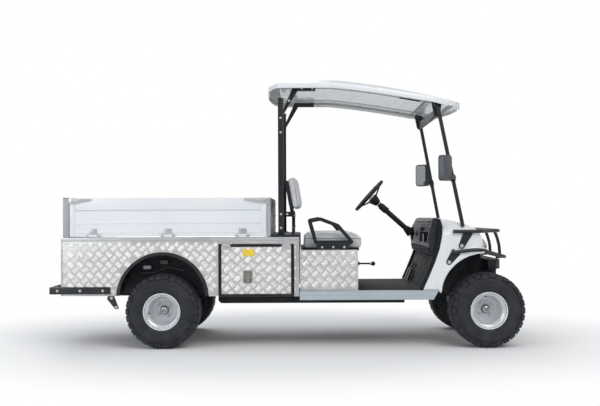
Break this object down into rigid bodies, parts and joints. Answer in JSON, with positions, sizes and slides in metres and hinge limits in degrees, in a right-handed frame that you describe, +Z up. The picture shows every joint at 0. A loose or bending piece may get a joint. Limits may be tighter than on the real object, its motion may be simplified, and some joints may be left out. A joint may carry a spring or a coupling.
{
  "type": "utility golf cart with drop-side cargo bed",
  "caption": "Two-seat electric utility cart with a drop-side cargo bed, side toolboxes, a moulded roof on posts, a lifting bench seat and a tubular brush guard.",
  "frame": {"origin": "on the ground, midway along the cart between the rear bumper and the front of the front tyres, on the centreline", "axes": "+X forward, +Y to the left of the cart, +Z up"},
  "size_m": [3.56, 1.357, 2.071],
  "materials": {
    "frame_black": "satin black paint",
    "battery_case": "moulded case",
    "floor_rubber": "ribbed mat",
    "sill_aluminium": "anodised extrusion",
    "white_body": "gloss white moulding",
    "white_drop_side": "powder coated white",
    "headboard_grey": "pale grey coat",
    "black_plastic": "grained black",
    "black_steel": "powder coated black",
    "headlight_lens": "clear lens over reflector",
    "diamond_plate": "rolled tread plate",
    "rail_aluminium": "mill finish",
    "grey_vinyl": "grained vinyl",
    "tyre_rubber": "tread block rubber",
    "rim_silver": "silver paint"
  },
  "bodies": {
    "chassis": {"frame_rails": "frame_black", "crossmembers": "frame_black", "front_axle": "frame_black", "rear_axle": "frame_black", "suspension": "frame_black", "battery_pack": "battery_case", "floor_pan": "floor_rubber", "rocker_panels": "sill_aluminium", "front_cowl": "white_body", "wheel_arch_liners": "black_plastic", "dashboard": "black_plastic", "front_bumper": "black_plastic", "headlights": "headlight_lens", "brush_guard": "black_steel", "seat_side_plates": "diamond_plate", "seat_front_panel": "black_plastic", "rear_deck": "black_plastic", "backrest_frame": "black_plastic", "backrest_pad": "grey_vinyl", "armrests": "black_plastic", "roof_canopy": "white_body", "rear_roof_posts": "black_steel", "front_roof_struts": "black_steel", "mirrors": "black_plastic", "steering_column": "black_plastic", "pedals": "black_steel", "direction_lever": "black_plastic", "bed_floor": "rail_aluminium", "bed_side_plates": "diamond_plate", "bed_rails": "rail_aluminium", "headboard": "headboard_grey", "corner_posts": "headboard_grey", "rear_panel": "diamond_plate", "toolboxes": "rail_aluminium", "rear_bumper": "black_steel"},
    "steering_wheel": {"steering_wheel": "black_plastic"},
    "seat_lift": {"seat_base": "black_plastic", "seat_cushion": "grey_vinyl"},
    "drop_side_left": {"drop_side_left": "white_drop_side"},
    "drop_side_right": {"drop_side_right": "white_drop_side"},
    "tailgate": {"tailgate": "white_drop_side"},
    "toolbox_door_left": {"toolbox_door_left": "diamond_plate"},
    "toolbox_door_right": {"toolbox_door_right": "diamond_plate"},
    "knuckle_left": {"knuckle_left": "frame_black"},
    "knuckle_right": {"knuckle_right": "frame_black"},
    "tie_rod": {"tie_rod": "frame_black"},
    "wheel_front_left": {"tyre_front_left": "tyre_rubber", "rim_front_left": "rim_silver"},
    "wheel_front_right": {"tyre_front_right": "tyre_rubber", "rim_front_right": "rim_silver"},
    "wheel_rear_left": {"tyre_rear_left": "tyre_rubber", "rim_rear_left": "rim_silver"},
    "wheel_rear_right": {"tyre_rear_right": "tyre_rubber", "rim_rear_right": "rim_silver"}
  },
  "joints": [
    {"name": "steer_left", "type": "hinge", "parent": "chassis", "child": "knuckle_left", "pos_m": [1.5005, 0.415, 0.2795], "axis": [0, 0, 1], "range_deg": [-28, 28]},
    {"name": "steer_right", "type": "hinge", "parent": "chassis", "child": "knuckle_right", "pos_m": [1.5005, -0.415, 0.2795], "axis": [0, 0, 1], "range_deg": [-28, 28]},
    {"name": "tie_rod_pivot", "type": "hinge", "parent": "knuckle_left", "child": "tie_rod", "pos_m": [1.4205, 0.415, 0.2795], "axis": [0, 0, 1], "range_deg": [-28, 28]},
    {"name": "steering_wheel_turn", "type": "hinge", "parent": "chassis", "child": "steering_wheel", "pos_m": [0.6805, 0.255, 1.16], "axis": [-0.7431, 0, 0.6691], "range_deg": [-420, 420]},
    {"name": "seat_hinge", "type": "hinge", "parent": "chassis", "child": "seat_lift", "pos_m": [0.5425, 0, 0.731], "axis": [0, 1, 0], "range_deg": [0, 55]},
    {"name": "tailgate_hinge", "type": "hinge", "parent": "chassis", "child": "tailgate", "pos_m": [-1.6925, 0, 0.847], "axis": [0, -1, 0], "range_deg": [0, 180]},
    {"name": "drop_left_hinge", "type": "hinge", "parent": "chassis", "child": "drop_side_left", "pos_m": [-0.916, 0.605, 0.847], "axis": [-1, 0, 0], "range_deg": [0, 165]},
    {"name": "drop_right_hinge", "type": "hinge", "parent": "chassis", "child": "drop_side_right", "pos_m": [-0.916, -0.605, 0.847], "axis": [1, 0, 0], "range_deg": [0, 165]},
    {"name": "door_left_hinge", "type": "hinge", "parent": "chassis", "child": "toolbox_door_left", "pos_m": [-0.232, 0.608, 0.784], "axis": [-1, 0, 0], "range_deg": [-100, 0]},
    {"name": "door_right_hinge", "type": "hinge", "parent": "chassis", "child": "toolbox_door_right", "pos_m": [-0.232, -0.608, 0.784], "axis": [1, 0, 0], "range_deg": [-100, 0]},
    {"name": "wheel_front_left_spin", "type": "hinge", "parent": "knuckle_left", "child": "wheel_front_left", "pos_m": [1.5005, 0.515, 0.2795], "axis": [0, 1, 0], "continuous": true},
    {"name": "wheel_front_right_spin", "type": "hinge", "parent": "knuckle_right", "child": "wheel_front_right", "pos_m": [1.5005, -0.515, 0.2795], "axis": [0, 1, 0], "continuous": true},
    {"name": "wheel_rear_left_spin", "type": "hinge", "parent": "chassis", "child": "wheel_rear_left", "pos_m": [-0.9355, 0.515, 0.2795], "axis": [0, 1, 0], "continuous": true},
    {"name": "wheel_rear_right_spin", "type": "hinge", "parent": "chassis", "child": "wheel_rear_right", "pos_m": [-0.9355, -0.515, 0.2795], "axis": [0, 1, 0], "continuous": true}
  ],
  "couplings": [
    {"joint": "steer_right", "follows": "steer_left", "ratio": 1},
    {"joint": "tie_rod_pivot", "follows": "steer_left", "ratio": -1},
    {"joint": "steering_wheel_turn", "follows": "steer_left", "ratio": 15}
  ]
}
